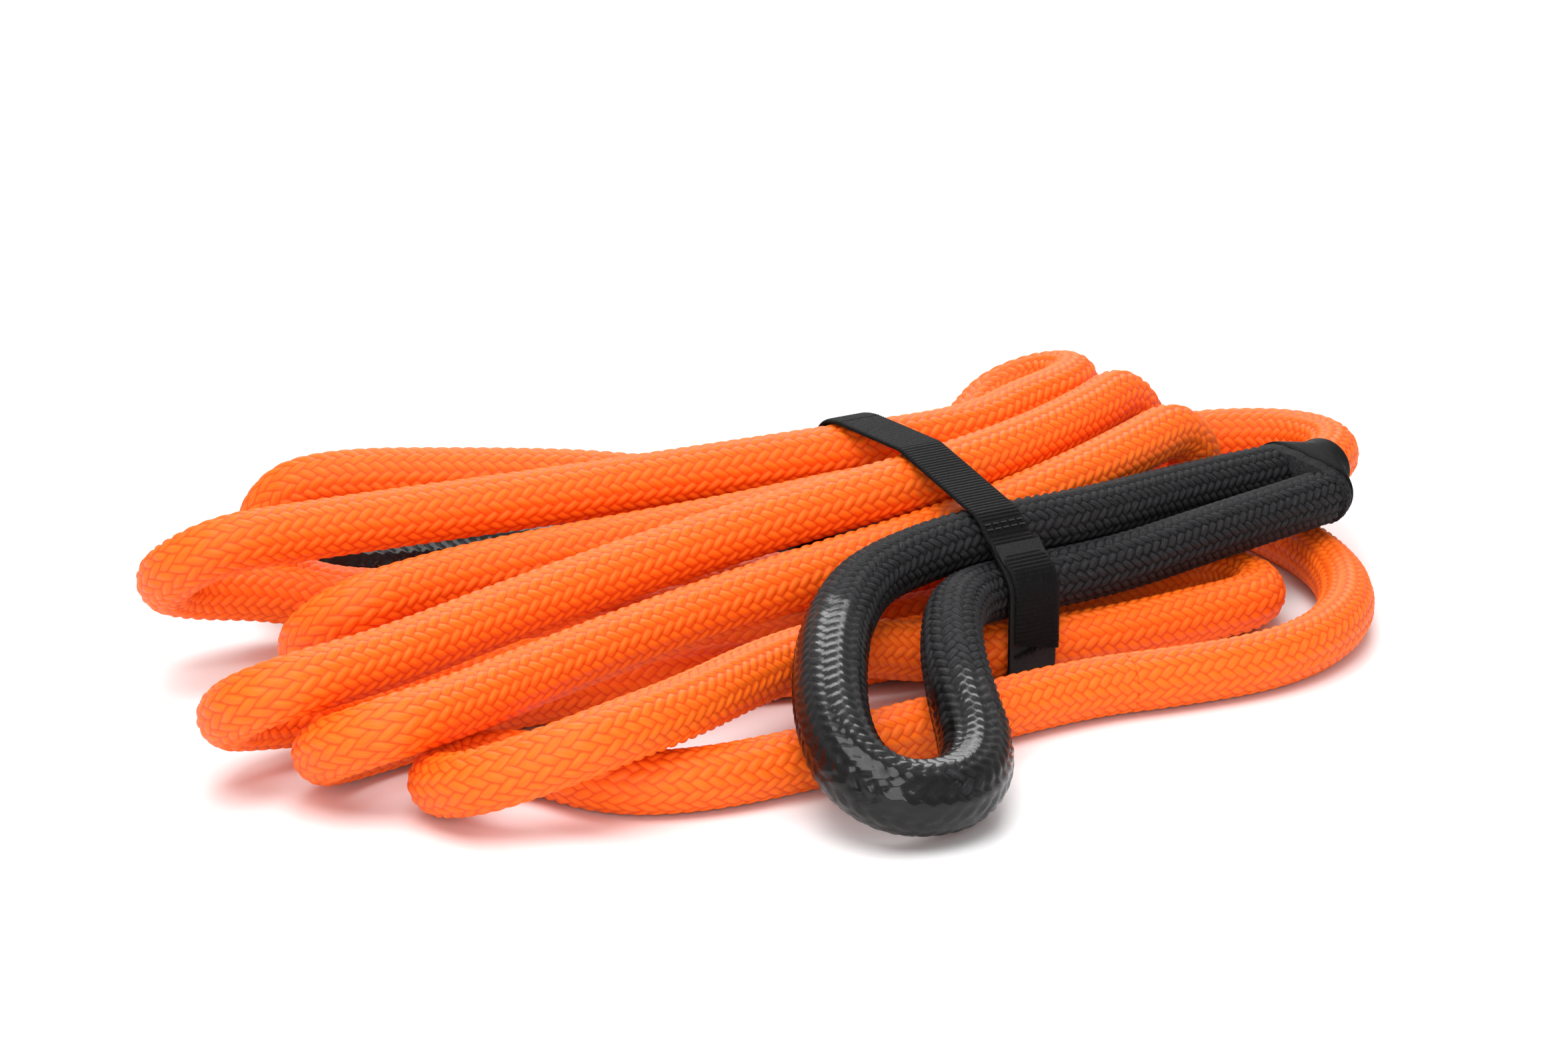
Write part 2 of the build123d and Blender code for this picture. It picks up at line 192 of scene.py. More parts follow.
class Shader:
    """A material whose nodes are added by one method."""

    def __init__(self, name, **fixed):
        self.material = bpy.data.materials.new(name)
        self.material.use_nodes = True
        self.tree = self.material.node_tree
        self.surface = self.tree.nodes["Principled BSDF"]
        for socket, value in fixed.items():
            self.surface.inputs[socket.replace("_", " ")].default_value = value

    def node(self, kind, settings, inputs, output=0):
        made = self.tree.nodes.new(kind)
        for key, value in settings.items():
            setattr(made, key, value)
        for key, value in inputs.items():
            if isinstance(value, Wire):
                self.tree.links.new(value.socket, made.inputs[key])
            else:
                made.inputs[key].default_value = value
        return Wire(self, made.outputs[output])

    def attribute(self, name):
        return self.node("ShaderNodeAttribute", {"attribute_name": name}, {}, "Fac")

    def place(self):
        return self.node("ShaderNodeTexCoord", {}, {}, "Object")

    def noise(self, vector, scale, detail=2.0, rough=0.5):
        return self.node("ShaderNodeTexNoise", {},
                         {"Vector": vector, "Scale": scale, "Detail": detail, "Roughness": rough})

    def stretched(self, vector, scale):
        return self.node("ShaderNodeVectorMath", {"operation": "MULTIPLY"}, {0: vector, 1: scale})

    def mix(self, factor, first, second):
        return self.node("ShaderNodeMix", {"data_type": "RGBA"},
                         {"Factor": factor, 6: first, 7: second}, 2)

    def ramp(self, value, low, high, out_low=0.0, out_high=1.0):
        return self.node("ShaderNodeMapRange", {},
                         {"Value": value, "From Min": low, "From Max": high,
                          "To Min": out_low, "To Max": out_high})

    def feed(self, **links):
        for socket, wire in links.items():
            self.tree.links.new(wire.socket, self.surface.inputs[socket.replace("_", " ")])
        return self

    def bump(self, height, strength, distance):
        normal = self.node("ShaderNodeBump", {},
                           {"Height": height, "Strength": strength, "Distance": distance})
        return self.feed(Normal=normal)


def rgba(colour):
    return (*colour[:3], 1.0)


FILAMENTS = (15.0, 0.9, 1.0)     # noise per strand width and per crossing


def braid_filaments(shader):
    strand = shader.node("ShaderNodeUVMap", {"uv_map": "strand"}, {})
    return (shader.noise(shader.stretched(strand, FILAMENTS), 1.0, 3.0, 0.6),
            shader.noise(shader.stretched(strand, (2.0, 0.35, 1.0)), 1.0))


def orange_braid(settings):
    shader = Shader("orange_braid", IOR=1.5, Specular_IOR_Level=0.22)
    fine, broad = braid_filaments(shader)
    lift = shader.attribute("lift")
    bright = shader.mix(shader.ramp(broad, 0.35, 0.7), rgba(settings.colour), (1.0, 0.165, 0.008, 1))
    # painted shade: the colour darkens to the groove shade colour where the strand's lift is low, in
    # the grooves between strands
    shaded = shader.mix(shader.ramp(lift, 0.0, 0.42), rgba(settings.groove_shade_colour), bright)
    streaked = shader.mix(shader.ramp(fine, 0.52, 0.72, 0.0, 0.45), shaded, (1.0, 0.26, 0.035, 1))
    shader.feed(Base_Color=streaked, Roughness=shader.ramp(fine, 0.3, 0.7, 0.36, 0.56))
    shader.bump(fine, 0.5, 0.00035)
    return shader.material


def black_braid(settings):
    """Matt black braid with painted grey sheen on its filaments and painted shade in its grooves, that
    turns to a glossy coated one where the coating attribute is 1.
    """
    shader = Shader("black_braid", IOR=1.5, Specular_IOR_Level=0.12, Coat_Roughness=0.14)
    fine, broad = braid_filaments(shader)
    lift, coated = shader.attribute("lift"), shader.attribute("coated")
    dull = shader.mix(shader.ramp(broad, 0.3, 0.7), rgba(settings.eye_colour), (0.022, 0.022, 0.024, 1))
    # painted shade: near-black where the strand's lift is low, in the grooves between strands
    grooves = shader.mix(shader.ramp(lift, 0.05, 0.45), (0.0015, 0.0015, 0.0017, 1), dull)
    # painted sheen: the fine filament streaks are lightened to grey, the way light catches the fuzz on
    # black braid
    filament_sheen = shader.mix(shader.ramp(fine, 0.5, 0.75, 0.0, 0.6), grooves, (0.085, 0.085, 0.09, 1))
    patches = shader.noise(shader.place(), 90.0, 3.0)
    wet = shader.ramp(coated * patches, 0.3, 0.46)
    shader.feed(Base_Color=shader.mix(wet, filament_sheen, (0.002, 0.002, 0.0022, 1)),
                Roughness=shader.ramp(wet, 0.0, 1.0, 0.62, 0.3),
                Coat_Weight=wet * 0.5)
    shader.bump(fine * shader.ramp(coated, 0.0, 1.0, 1.0, 0.8), 0.7, 0.0005)
    return shader.material


def splice_braid():
    shader = Shader("splice_braid", IOR=1.5, Specular_IOR_Level=0.12)
    grain = shader.noise(shader.place(), 900.0, 3.0, 0.65)
    shader.feed(Base_Color=shader.mix(shader.ramp(grain, 0.4, 0.7), (0.004, 0.004, 0.0045, 1),
                                      (0.026, 0.026, 0.028, 1)),
                Roughness=shader.ramp(grain, 0.3, 0.7, 0.5, 0.75))
    shader.bump(grain, 0.6, 0.0004)
    return shader.material


def whipping_thread():
    shader = Shader("whipping_thread", IOR=1.5, Specular_IOR_Level=0.15)
    fibres = shader.noise(shader.stretched(shader.place(), (300, 300, 2500)), 1.0, 2.0)
    shader.feed(Base_Color=shader.mix(fibres, (0.002, 0.002, 0.0023, 1), (0.01, 0.01, 0.011, 1)),
                Roughness=shader.ramp(fibres, 0.3, 0.7, 0.34, 0.5))
    shader.bump(fibres, 0.3, 0.0001)
    return shader.material


def strap_webbing(settings):
    shader = Shader("strap_webbing", IOR=1.5, Specular_IOR_Level=0.08)
    yarn = shader.noise(shader.stretched(shader.place(), (2600, 500, 500)), 1.0, 2.0, 0.6)
    shader.feed(Base_Color=shader.mix(shader.ramp(yarn, 0.35, 0.7), rgba(settings.colour),
                                      (0.008, 0.008, 0.0085, 1)),
                Roughness=shader.ramp(yarn, 0.3, 0.7, 0.45, 0.7))
    shader.bump(yarn, 0.5, 0.0002)
    return shader.material


def plain_fibre(name, dark, light, scale, gloss):
    shader = Shader(name, IOR=1.5, Specular_IOR_Level=0.15)
    grain = shader.noise(shader.place(), scale, 3.0, 0.6)
    shader.feed(Base_Color=shader.mix(grain, dark, light),
                Roughness=shader.ramp(grain, 0.3, 0.7, gloss, gloss + 0.25))
    shader.bump(grain, 0.5, 0.0003)
    return shader.material


# ------------------------------------------------------------------ lines and meshes
def metres(points):
    return [Vector([(p - o) * MM for p, o in zip(point, ORIGIN)]) for point in points]


def smooth_line(name, points, spacing):
    """Evenly spaced points on the NURBS spline whose control points are the route's."""
    curve = bpy.data.curves.new(name, "CURVE")
    curve.dimensions = "3D"
    curve.resolution_u = 16
    spline = curve.splines.new("NURBS")
    spline.points.add(len(points) - 1)
    for control, point in zip(spline.points, points):
        control.co = (*point, 1.0)
    spline.order_u = 3
    spline.use_endpoint_u = True
    guide = bpy.data.objects.new(name, curve)
    bpy.context.scene.collection.objects.link(guide)
    bpy.context.view_layer.update()
    mesh = bpy.data.meshes.new_from_object(guide)
    raw = [vertex.co.copy() for vertex in mesh.vertices]
    bpy.data.objects.remove(guide)
    bpy.data.meshes.remove(mesh)
    travelled = [0.0]
    for before, after in zip(raw, raw[1:]):
        travelled.append(travelled[-1] + (after - before).length)
    line, k = [], 0
    for i in range(int(travelled[-1] / spacing) + 1):
        while k < len(raw) - 2 and travelled[k + 1] < i * spacing:
            k += 1
        part = (i * spacing - travelled[k]) / max(travelled[k + 1] - travelled[k], 1e-9)
        line.append(raw[k].lerp(raw[k + 1], part))
    return line


def carried_frames(line):
    """A pair of directions across the line at each of its points, carried along without twist."""
    tangents = [(line[min(i + 1, len(line) - 1)] - line[max(i - 1, 0)]).normalized()
                for i in range(len(line))]
    side = tangents[0].cross(Vector((0, 0, 1))).normalized()
    frames = []
    for tangent in tangents:
        side = (side - tangent * side.dot(tangent)).normalized()
        frames.append((side, tangent.cross(side)))
    return frames


CROSSING_STEPS = 4      # mesh steps along each side of one crossing
CROWN_POWER = 3.2       # flatness of a strand's top
FLOAT_POWER = 0.7       # roundness of a strand along its float


def strand_lift(across, along):
    """Height, 0 to 1, of a strand with that place across its width and along its float."""
    phase = along % 4.0
    if phase >= 2.0:
        return 0.0
    return (1.0 - abs(2.0 * across - 1.0) ** CROWN_POWER) * math.sin(math.pi * phase / 2) ** FLOAT_POWER


def braid(name, line, first, last, carriers, steps, radius_at, relief_at, coated_at):
    """A two-over-two braid between two rows of the line, as a mesh whose edges follow the strands.

    The line's points are half a mesh step apart, so row r of the braid is the line's point r.
    """
    frames = carried_frames(line)
    columns = carriers * steps // 2
    mesh_points, lifts, coats, rows = [], [], [], {}
    for row in range(first, last + 2):
        rows[row] = len(mesh_points)
        side, up = frames[row]
        radius, relief, coat = radius_at(row), relief_at(row), coated_at(row)
        for column in range(columns):
            around = 2 * column + row % 2
            i = (around + row) / (2 * steps)
            j = (around - row) / (2 * steps)
            lift = max(strand_lift(i % 1.0, math.floor(i) + j),
                       strand_lift(j % 1.0, i + math.floor(j) - 2))
            angle = math.tau * around / (2 * columns)
            out = side * math.cos(angle) + up * math.sin(angle)
            mesh_points.append(line[row] + out * (radius - relief * (1.0 - lift)))
            lifts.append(lift)
            coats.append(coat)
    faces, strand_uvs = [], []
    d = 1 / steps
    for row in range(first, last):
        for column in range(columns):
            around = 2 * column + row % 2
            step_right = (column + row % 2) % columns
            step_left = (column + row % 2 - 1) % columns
            low, right = rows[row] + column, rows[row + 1] + step_right
            high, left = rows[row + 2] + column, rows[row + 1] + step_left
            faces.append((low, right, high, left))
            i0, j0 = (around + row) / (2 * steps), (around - row) / (2 * steps)
            corners = ((i0, j0), (i0 + d, j0), (i0 + d, j0 - d), (i0, j0 - d))
            over = (math.floor(i0 + d / 2) + math.floor(j0 - d / 2)) % 4 < 2
            strand_uvs.extend((i, j) if over else (j, i) for i, j in corners)
    for row, turn in ((first, 1), (last, -1)):
        centre = len(mesh_points)
        mesh_points.append(line[row].copy())
        lifts.append(0.0)
        coats.append(0.0)
        ring = []
        for column in range(columns):
            ring.append(rows[row] + column)
            ring.append(rows[row + 1] + (column + row % 2) % columns)
        for a, b in zip(ring, ring[1:] + ring[:1]):
            faces.append((a, b, centre)[::-turn])
            strand_uvs.extend([(0, 0)] * 3)
    mesh = bpy.data.meshes.new(name)
    mesh.from_pydata(mesh_points, [], faces)
    layer = mesh.uv_layers.new(name="strand")
    layer.data.foreach_set("uv", [value for uv in strand_uvs for value in uv])
    for label, values in (("lift", lifts), ("coated", coats)):
        mesh.attributes.new(label, "FLOAT", "POINT").data.foreach_set("value", values)
    mesh.shade_smooth()
    piece = bpy.data.objects.new(name, mesh)
    bpy.context.scene.collection.objects.link(piece)
    return piece


def nearest(line, place):
    return min(range(len(line)), key=lambda i: (line[i] - place).length_squared)


def length_of(line):
    return sum((b - a).length for a, b in zip(line, line[1:]))


def finish_piece(piece, body, material):
    piece.data.materials.clear()
    piece.data.materials.append(material)
    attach(piece, body)


# ------------------------------------------------------------------ operators
TURN_PATH_STEP = 8      # line points from one point of a path to the next
EYE_PATH_STEP = 6


class BraidRopeTurns(bpy.types.Operator):
    """Braids the orange cover, one piece for each turn of the hank"""

    bl_idname = "rope_hank.turns"
    bl_label = "Rope Turns"

    def execute(self, context):
        settings = context.scene.rope_hank
        spacing = settings.stitch / (2 * CROSSING_STEPS)
        points = [point for turn in TURNS for point in metres(turn)]
        line = smooth_line("rope_line", points, spacing)
        material = orange_braid(settings)
        cuts, count = [0], 0
        for turn in TURNS[:-1]:
            count += len(turn)
            cuts.append(nearest(line, (points[count - 1] + points[count]) / 2))
        cuts.append(len(line) - 3)
        for number, (first, last) in enumerate(zip(cuts, cuts[1:]), 1):
            node = f"rope_turn_{number}"
            piece = braid(f"{node}_braid", line, first, last, settings.carriers, CROSSING_STEPS,
                          lambda row: settings.radius, lambda row: settings.relief, lambda row: 0.0)
            finish_piece(piece, "rope", material)
            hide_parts(node)
            run = line[first:last + 1]
            length_of(run)
            run[::TURN_PATH_STEP] + [run[-1]]
        return {"FINISHED"}


EYE_STEPS = 3
COATING_FADE = 0.05     # metres over which the coating thins out
COATED_SLOPE = 0.8
COATED_AT_EDGE = 0.45
BARE_RELIEF = 1.3       # shares of the rope's relief
COATED_RELIEF_LOSS = 0.55


class BraidEyes(bpy.types.Operator):
    """Braids the black eyes, with the coated bend swelling out of the bare braid"""

    bl_idname = "rope_hank.eyes"
    bl_label = "Eyes"

    def execute(self, context):
        settings = context.scene.rope_hank
        material = black_braid(settings)
        spacing = settings.eye_stitch / (2 * EYE_STEPS)
        for letter, eye in (("a", EYE_A), ("b", EYE_B)):
            points = metres(eye["route"])
            line = smooth_line(f"eye_{letter}_line", points, spacing)
            first, last = eye["coated"]
            starts = nearest(line, (points[first - 1] + points[first]) / 2)
            ends = nearest(line, (points[last] + points[last + 1]) / 2)
            fade = COATING_FADE / spacing

            def coated(row):
                inside = min(row - starts, ends - row) / fade
                return min(max(inside * COATED_SLOPE + COATED_AT_EDGE, 0.0), 1.0)

            def radius(row):
                return settings.radius + settings.coating * coated(row)

            def relief(row):
                return settings.relief * (BARE_RELIEF - COATED_RELIEF_LOSS * coated(row))

            piece = braid(f"eye_{letter}_braid", line, 0, len(line) - 3, settings.carriers,
                          EYE_STEPS, radius, relief, coated)
            finish_piece(piece, "rope", material)
            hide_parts(f"eye_{letter}_cover", f"eye_{letter}_coating")
            length_of(line)
            line[::EYE_PATH_STEP] + [line[-1]]
        return {"FINISHED"}


THROAT_LENGTH = 24 * MM
THROAT_RADIUS = 11.1 * MM
THROAT_START = 0.5 * MM
THROAT_OVERRUN = 3 * MM
THROAT_MESH = (40, 112)         # rows, points round a row
THROAT_STRANDS = 14
THROAT_RELIEF = 0.35 * MM
THROAT_STITCH = 0.7 * MM
WHIPPING_START = -3 * MM
WHIPPING_END = 18 * MM
WHIPPING_MESH = (180, 96)
WHIPPING_LIFT = 0.9 * MM
THREAD_PITCH = 0.8 * MM
THREAD_HEIGHT = 0.28 * MM
SLOT_SHARPNESS = 3              # how squarely the sleeve follows two legs side by side


def wound_sleeve(name, eye, start, end, rows, around, lift):
    """A closed sleeve round an eye's throat: its section goes from the pair of legs to the rope."""
    rope_end, inner = metres([eye["rope_end"], eye["rope_inner"]])
    axis = (rope_end - inner).normalized()
    legs = Vector(eye["leg_offset"]) * MM
    across = (legs - axis * legs.dot(axis)).normalized()
    up = axis.cross(across)
    mesh = bmesh.new()
    rings = []
    for row in range(rows + 1):
        along = start + (end - start) * row / rows
        share = min(max(along / THROAT_LENGTH, 0.0), 1.0)
        share = share * share * (3 - 2 * share)
        ring = []
        for k in range(around):
            angle = math.tau * k / around
            radius = THROAT_RADIUS + lift(along, angle)
            push = legs.length * share * math.tanh(SLOT_SHARPNESS * math.cos(angle))
            place = rope_end + axis * along + across * (push + radius * math.cos(angle))
            ring.append(mesh.verts.new(place + up * radius * math.sin(angle)))
        rings.append(ring)
    for lower, upper in zip(rings, rings[1:]):
        for k in range(around):
            mesh.faces.new((lower[k], lower[(k + 1) % around], upper[(k + 1) % around], upper[k]))
    mesh.faces.new(rings[0][::-1])
    mesh.faces.new(rings[-1])
    bmesh.ops.recalc_face_normals(mesh, faces=mesh.faces)
    data = bpy.data.meshes.new(name)
    mesh.to_mesh(data)
    mesh.free()
    data.shade_smooth()
    piece = bpy.data.objects.new(name, data)
    bpy.context.scene.collection.objects.link(piece)
    return piece


class WindThroats(bpy.types.Operator):
    """Makes the tapered splice of each eye and winds its thread whipping"""

    bl_idname = "rope_hank.throats"
    bl_label = "Splices and Whippings"

    def execute(self, context):
        braided, thread = splice_braid(), whipping_thread()

        def weave(along, angle):
            round_it, along_it = THROAT_STRANDS * angle, along / THROAT_STITCH
            return THROAT_RELIEF * math.sin(round_it + along_it) * math.sin(round_it - along_it)

        def winding(along, angle):
            turn = along / THREAD_PITCH + angle / math.tau
            return WHIPPING_LIFT + THREAD_HEIGHT * abs(math.sin(math.pi * turn))

        for letter, eye in (("a", EYE_A), ("b", EYE_B)):
            throat = wound_sleeve(f"eye_{letter}_splice", eye, THROAT_START,
                                  THROAT_LENGTH + THROAT_OVERRUN, *THROAT_MESH, weave)
            finish_piece(throat, "rope", braided)
            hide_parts(f"eye_{letter}_throat")
            whipping = wound_sleeve(f"eye_{letter}_winding", eye, WHIPPING_START, WHIPPING_END,
                                    *WHIPPING_MESH, winding)
            finish_piece(whipping, "rope", thread)
            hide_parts(f"eye_{letter}_whipping")
        return {"FINISHED"}


# ------------------------------------------------------------------ strap
STRAP_THICKNESS = 2.0 * MM
TAIL_THICKNESS = 1.8 * MM
SHEET_STEP = 0.28 * MM
SHEET_COLUMNS = 24
NORMAL_REACH = 6            # outline points on each side that set the direction out
SELVEDGE_POWER = 14         # how late the strip's edges round off
SELVEDGE_INSET = 0.35       # share of the thickness taken off at the edges
TAIL_SETTLE = 60            # outline points over which the tail rises out of the belt
TAIL_CLEAR = 0.05 * MM
FRAY_FIBRES = 170
FRAY_RADIUS = 0.09 * MM
FRAY_SEED = 11
FRAY_PLACES_SEED = 5
FUZZ_FIBRES = 2600
FUZZ_RADIUS = 0.06 * MM
FUZZ_SEED = 12
FUZZ_ROOT = 0.85 * MM       # height of the fuzz's roots over the belt


def outline_of(node):
    """The convex outline of a CAD node seen along X, as evenly spaced (y, z) with its normals."""
    flat = [Vector((v.co.y, v.co.z)) for v in frame["nodes"][node].data.vertices]
    corners = [flat[i] for i in convex_hull_2d(flat)]
    dense = []
    for a, b in zip(corners, corners[1:] + corners[:1]):
        count = max(1, round((b - a).length / SHEET_STEP))
        dense.extend(a.lerp(b, k / count) for k in range(count))
    count = len(dense)
    normals = []
    for i in range(count):
        way = (dense[(i + NORMAL_REACH) % count] - dense[i - NORMAL_REACH]).normalized()
        normals.append(Vector((way.y, -way.x)))
    middle = sum(dense, Vector((0, 0))) / count
    if sum((p - middle).dot(n) for p, n in zip(dense, normals)) < 0:
        normals = [-n for n in normals]
    return dense, normals


def ribbon(name, profile, normals, thickness, low_x, high_x, rib, pitch, slant=0.0, loop=False):
    """A strip of webbing along a profile, ribbed across its width, with rolled edges."""
    mesh = bmesh.new()
    rows = []
    travelled = 0.0
    for i, (point, normal) in enumerate(zip(profile, normals)):
        if i:
            travelled += (point - profile[i - 1]).length
        row_out, row_in = [], []
        for k in range(SHEET_COLUMNS + 1):
            share = k / SHEET_COLUMNS
            edge = 1.0 - abs(2 * share - 1) ** SELVEDGE_POWER
            stagger = 0.5 * (k % 2)
            height = rib * abs(math.sin(math.pi * (travelled / pitch + 0.04 * stagger))) * edge
            x = low_x + (high_x - low_x) * share
            inset = SELVEDGE_INSET * thickness * (1 - edge)
            out = point + normal * (height - rib - inset)
            back = point - normal * (thickness - inset)
            row_out.append(mesh.verts.new((x, out.x, out.y)))
            row_in.append(mesh.verts.new((x, back.x, back.y)))
        rows.append(row_out + row_in[::-1])
    count = len(rows[0])
    pairs = list(zip(rows, rows[1:])) + ([(rows[-1], rows[0])] if loop else [])
    for lower, upper in pairs:
        for k in range(count):
            mesh.faces.new((lower[k], lower[(k + 1) % count], upper[(k + 1) % count], upper[k]))
    if not loop:
        mesh.faces.new(rows[0])
        mesh.faces.new(rows[-1])
    bmesh.ops.recalc_face_normals(mesh, faces=mesh.faces)
    if slant:
        cut = Vector((0, profile[-1].x, profile[-1].y))
        way = Vector((0, profile[-1].x - profile[-2].x, profile[-1].y - profile[-2].y)).normalized()
        lean = Vector((-slant / (high_x - low_x), 0, 0)) + way
        middle = cut + Vector(((low_x + high_x) / 2, 0, 0)) - way * slant / 2
        cutting = bmesh.ops.bisect_plane(
            mesh, geom=mesh.verts[:] + mesh.edges[:] + mesh.faces[:], plane_co=middle,
            plane_no=lean, clear_outer=True)
        edges = [e for e in cutting["geom_cut"] if isinstance(e, bmesh.types.BMEdge)]
        bmesh.ops.holes_fill(mesh, edges=edges)
    data = bpy.data.meshes.new(name)
    mesh.to_mesh(data)
    mesh.free()
    data.shade_smooth()
    piece = bpy.data.objects.new(name, data)
    bpy.context.scene.collection.objects.link(piece)
    return piece


def fibres(name, roots, thickness, seed):
    """Short tapered fibres, each from a root along its own direction."""
    rng = random.Random(seed)
    mesh = bmesh.new()
    for root, way in roots:
        side = way.cross(Vector((rng.uniform(-1, 1), rng.uniform(-1, 1), 1))).normalized()
        other = way.normalized().cross(side)
        bend = Vector((rng.uniform(-1, 1), rng.uniform(-1, 1), rng.uniform(-1, 1))) * way.length * 0.3
        base = [mesh.verts.new(root + (side * math.cos(a) + other * math.sin(a)) * thickness)
                for a in (0, 2.1, 4.2)]
        knee = [mesh.verts.new(v.co + way * 0.55) for v in base]
        tip = mesh.verts.new(root + way + bend)
        mesh.faces.new(base[::-1])
        for k in range(3):
            mesh.faces.new((base[k], base[(k + 1) % 3], knee[(k + 1) % 3], knee[k]))
            mesh.faces.new((knee[k], knee[(k + 1) % 3], tip))
    bmesh.ops.recalc_face_normals(mesh, faces=mesh.faces)
    data = bpy.data.meshes.new(name)
    mesh.to_mesh(data)
    mesh.free()
    piece = bpy.data.objects.new(name, data)
    bpy.context.scene.collection.objects.link(piece)
    return piece


def front_run(profile, start, end_z):
    """Indices of the profile from the point nearest start down the front to height end_z."""
    first = min(range(len(profile)), key=lambda i: (profile[i] - start).length)
    count = len(profile)
    step = 1 if profile[(first + 20) % count].y < profile[first].y else -1
    run = [first]
    while profile[run[-1]].y > end_z:
        run.append((run[-1] + step) % count)
    return run


class WeaveStrap(bpy.types.Operator):
    """Weaves the ribbed strap, its peeling tail with the frayed end, and the fuzz along the pile's edge
    """

    bl_idname = "rope_hank.strap"
    bl_label = "Strap"

    def execute(self, context):
        settings = context.scene.rope_strap
        material = strap_webbing(settings)
        low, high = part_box("strap_webbing")
        profile, normals = outline_of("strap_webbing")
        webbing = ribbon("strap_webbing_weave", profile, normals, STRAP_THICKNESS, low[0], high[0],
                         settings.rib_height, settings.rib_pitch, loop=True)
        finish_piece(webbing, "rope", material)
        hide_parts("strap_webbing")

        tail_low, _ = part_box("strap_tail")
        peel = frame["joints"][0]["pos_m"]
        top = min(profile, key=lambda p: (p - Vector(peel[1:])).length)
        rise = abs(tail_low[1] - min(p.x for p in profile))
        run = front_run(profile, top, tail_low[2] + 0.1 * MM)
        tail_profile = [profile[i] + normals[i] * (rise * min(0.02 + k / TAIL_SETTLE, 1.0) - TAIL_CLEAR)
                        for k, i in enumerate(run)]
        tail = ribbon("strap_tail_weave", tail_profile, [normals[i] for i in run], TAIL_THICKNESS,
                      low[0], high[0], settings.rib_height, settings.rib_pitch, settings.end_slant)
        finish_piece(tail, "strap_tail", material)
        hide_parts("strap_tail")

        rng = random.Random(FRAY_PLACES_SEED)
        end, way = tail_profile[-1], (tail_profile[-1] - tail_profile[-4]).normalized()
        width = high[0] - low[0]
        roots = []
        for _ in range(FRAY_FIBRES):
            share = rng.random()
            back = settings.end_slant * share + 0.6 * MM
            depth = normals[run[-1]] * -TAIL_THICKNESS * rng.uniform(0.15, 0.9)
            place = end - way * back + depth
            pull = way * rng.uniform(1.2, 3.2) * MM
            roots.append((Vector((low[0] + width * share, place.x, place.y)),
                          Vector((rng.uniform(-0.7, 0.7) * MM, pull.x, pull.y))))
        fray = fibres("strap_tail_fray", roots, FRAY_RADIUS, FRAY_SEED)
        finish_piece(fray, "strap_tail", material)

        pile_low, pile_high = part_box("strap_loop_patch")
        outer = front_run(profile, top, pile_low[2])
        roots = []
        for _ in range(FUZZ_FIBRES):
            i = rng.choice(outer[len(outer) // 3:])
            x = pile_low[0] + (pile_high[0] - pile_low[0]) * rng.random() ** rng.choice((1, 0.3, 3))
            place = profile[i] + normals[i] * FUZZ_ROOT
            out = normals[i] * rng.uniform(0.15, 0.5) * MM
            roots.append((Vector((x, place.x, place.y)),
                          Vector((rng.uniform(-0.7, 0.7) * MM, out.x, out.y - 0.3 * MM))))
        fuzz = fibres("strap_pile_fuzz", roots, FUZZ_RADIUS, FUZZ_SEED)
        fluff = plain_fibre("pile_fuzz", (0.012, 0.012, 0.012, 1), (0.05, 0.05, 0.052, 1), 900, 0.6)
        finish_piece(fuzz, "rope", fluff)
        return {"FINISHED"}


class FinishHiddenNodes(bpy.types.Operator):
    """Gives the pieces that are kept from the CAD model their materials"""

    bl_idname = "rope_hank.hidden"
    bl_label = "Cores, Patches and Stitching"

    def execute(self, context):
        core = plain_fibre("core_braid", (0.62, 0.6, 0.54, 1), (0.8, 0.78, 0.72, 1), 500, 0.55)
        hook = plain_fibre("hook_tape", (0.008, 0.008, 0.008, 1), (0.03, 0.03, 0.03, 1), 1500, 0.3)
        pile = plain_fibre("pile_tape", (0.01, 0.01, 0.01, 1), (0.045, 0.045, 0.047, 1), 1100, 0.65)
        thread = plain_fibre("sewing_thread", (0.01, 0.01, 0.01, 1), (0.05, 0.05, 0.05, 1), 2200, 0.35)
        choices = {"rope_core": core, "eye_a_core": core, "eye_b_core": core,
                   "strap_hook_patch": hook, "strap_loop_patch": pile, "strap_stitching": thread}
        for node, material in choices.items():
            kept = frame["nodes"][node]
            kept.data.materials.clear()
            kept.data.materials.append(material)
        return {"FINISHED"}


# ------------------------------------------------------------------ stage
CAMERA_PLACE = (-706.6, -1095.8, 474.0)
CAMERA_AIM = (5.0, 0.0, 62.0)
LIGHTS = (     # name, place, size, watts
    ("key", (-0.6, -0.5, 1.9), 1.6, 40.0),
    ("fill", (-1.2, -1.9, 0.8), 1.1, 17.0),
    ("back", (0.9, 1.3, 1.5), 1.3, 27.0),
)


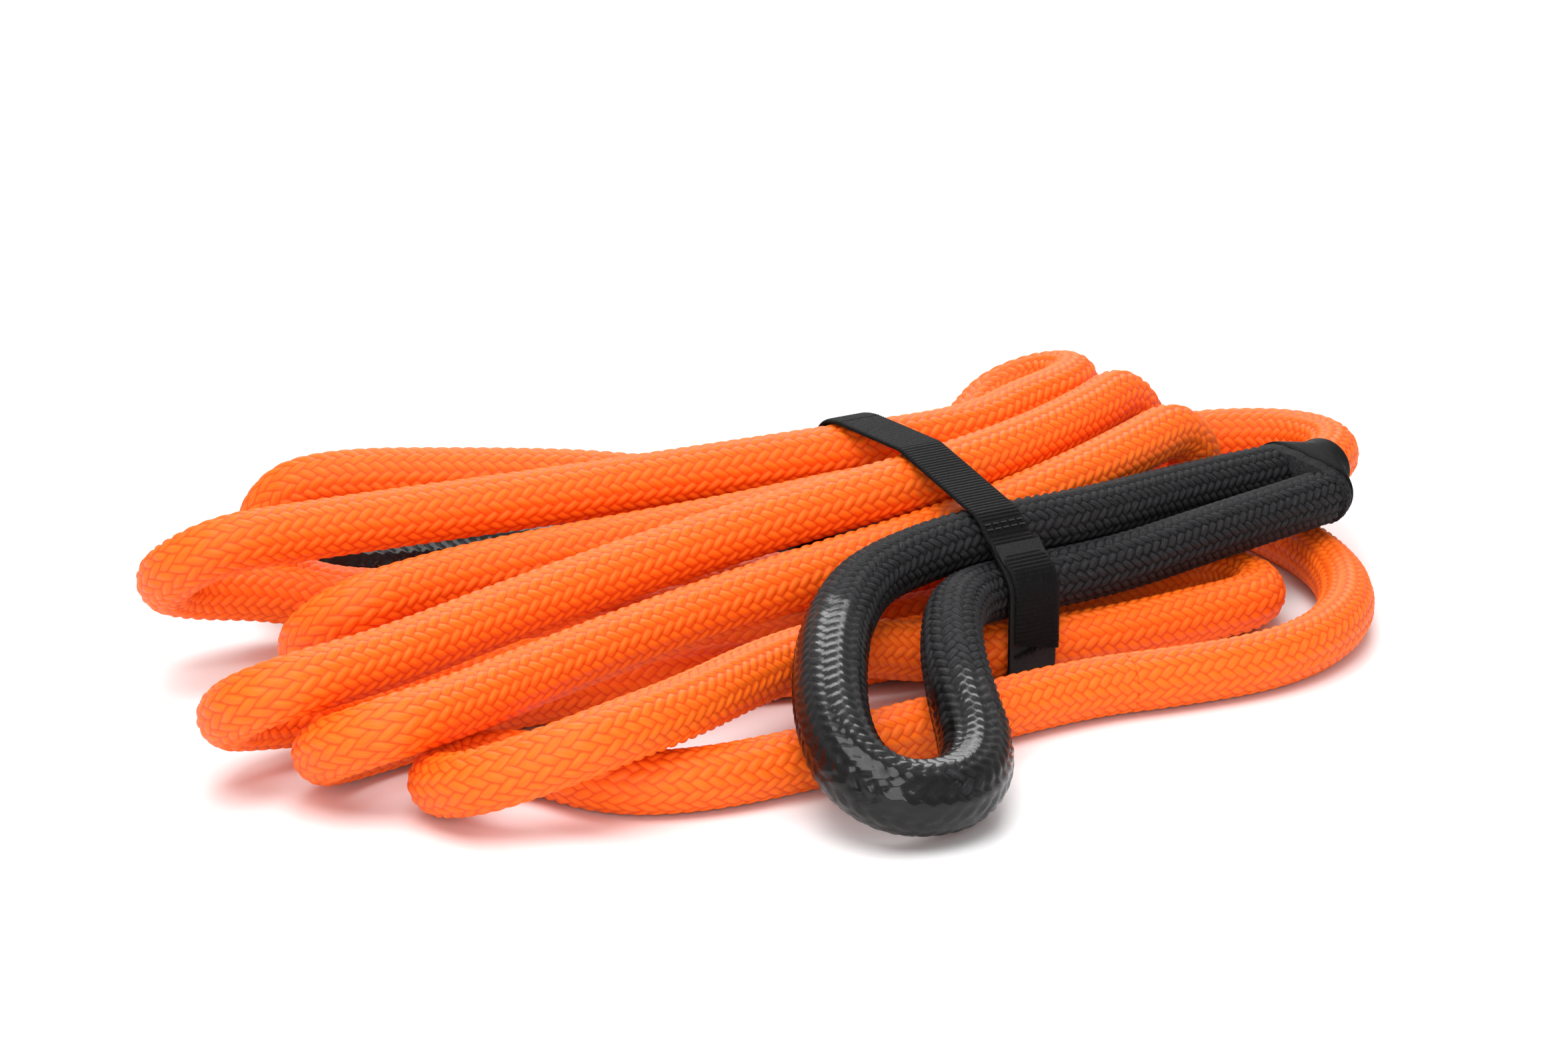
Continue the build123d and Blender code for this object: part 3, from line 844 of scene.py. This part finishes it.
class SetStage(bpy.types.Operator):
    """Adds the pale floor, the soft lights and the camera"""

    bl_idname = "rope_hank.stage"
    bl_label = "Stage"

    def execute(self, context):
        scene = context.scene
        settings = scene.rope_stage
        bpy.ops.object.select_all(action="DESELECT")
        bpy.ops.mesh.primitive_plane_add(size=24.0, location=(0, 0, -0.0002))
        floor = context.object
        floor.name = "studio_floor"
        white = Shader("studio_floor", Roughness=0.55, Specular_IOR_Level=0.15)
        white.surface.inputs["Base Color"].default_value = rgba(settings.floor_colour)
        floor.data.materials.append(white.material)
        aim = metres([CAMERA_AIM])[0]
        for name, place, size, watts in LIGHTS:
            bpy.ops.object.light_add(type="AREA", location=place)
            light = context.object
            light.name = name
            light.data.size = size
            light.data.energy = watts
            light.rotation_euler = (aim - light.location).to_track_quat("-Z", "Y").to_euler()
        world = bpy.data.worlds.new("studio")
        world.use_nodes = True
        world.node_tree.nodes["Background"].inputs["Color"].default_value = (1.0, 1.0, 1.0, 1)
        world.node_tree.nodes["Background"].inputs["Strength"].default_value = 0.45
        scene.world = world
        place = metres([CAMERA_PLACE])[0]
        bpy.ops.object.camera_add(location=place,
                                  rotation=(aim - place).to_track_quat("-Z", "Y").to_euler())
        camera = context.object
        camera.name = "camera"
        camera.data.lens = settings.lens
        camera.data.clip_start = 0.01
        scene.camera = camera
        scene.view_settings.view_transform = "Standard"
        return {"FINISHED"}


OPERATORS = (BraidRopeTurns, BraidEyes, WindThroats, WeaveStrap, FinishHiddenNodes, SetStage)


class RopePanel(bpy.types.Panel):
    """Lists the steps that build the rope"""

    bl_idname = "VIEW3D_PT_rope_hank"
    bl_label = "Rope Hank"
    bl_space_type = "VIEW_3D"
    bl_region_type = "UI"
    bl_category = "Rope"

    def draw(self, context):
        for operator in OPERATORS:
            self.layout.operator(operator.bl_idname)


def register():
    for name, group in SETTINGS:
        bpy.utils.register_class(group)
        setattr(bpy.types.Scene, name, PointerProperty(type=group))
    for item in OPERATORS + (RopePanel,):
        bpy.utils.register_class(item)


def unregister():
    for item in reversed(OPERATORS + (RopePanel,)):
        bpy.utils.unregister_class(item)
    for name, group in SETTINGS:
        delattr(bpy.types.Scene, name)
        bpy.utils.unregister_class(group)


def main():
    register()
    bpy.ops.rope_hank.turns()
    bpy.ops.rope_hank.eyes()
    bpy.ops.rope_hank.throats()
    bpy.ops.rope_hank.strap()
    bpy.ops.rope_hank.hidden()
    bpy.ops.rope_hank.stage()


if __name__ == "__main__":
    main()
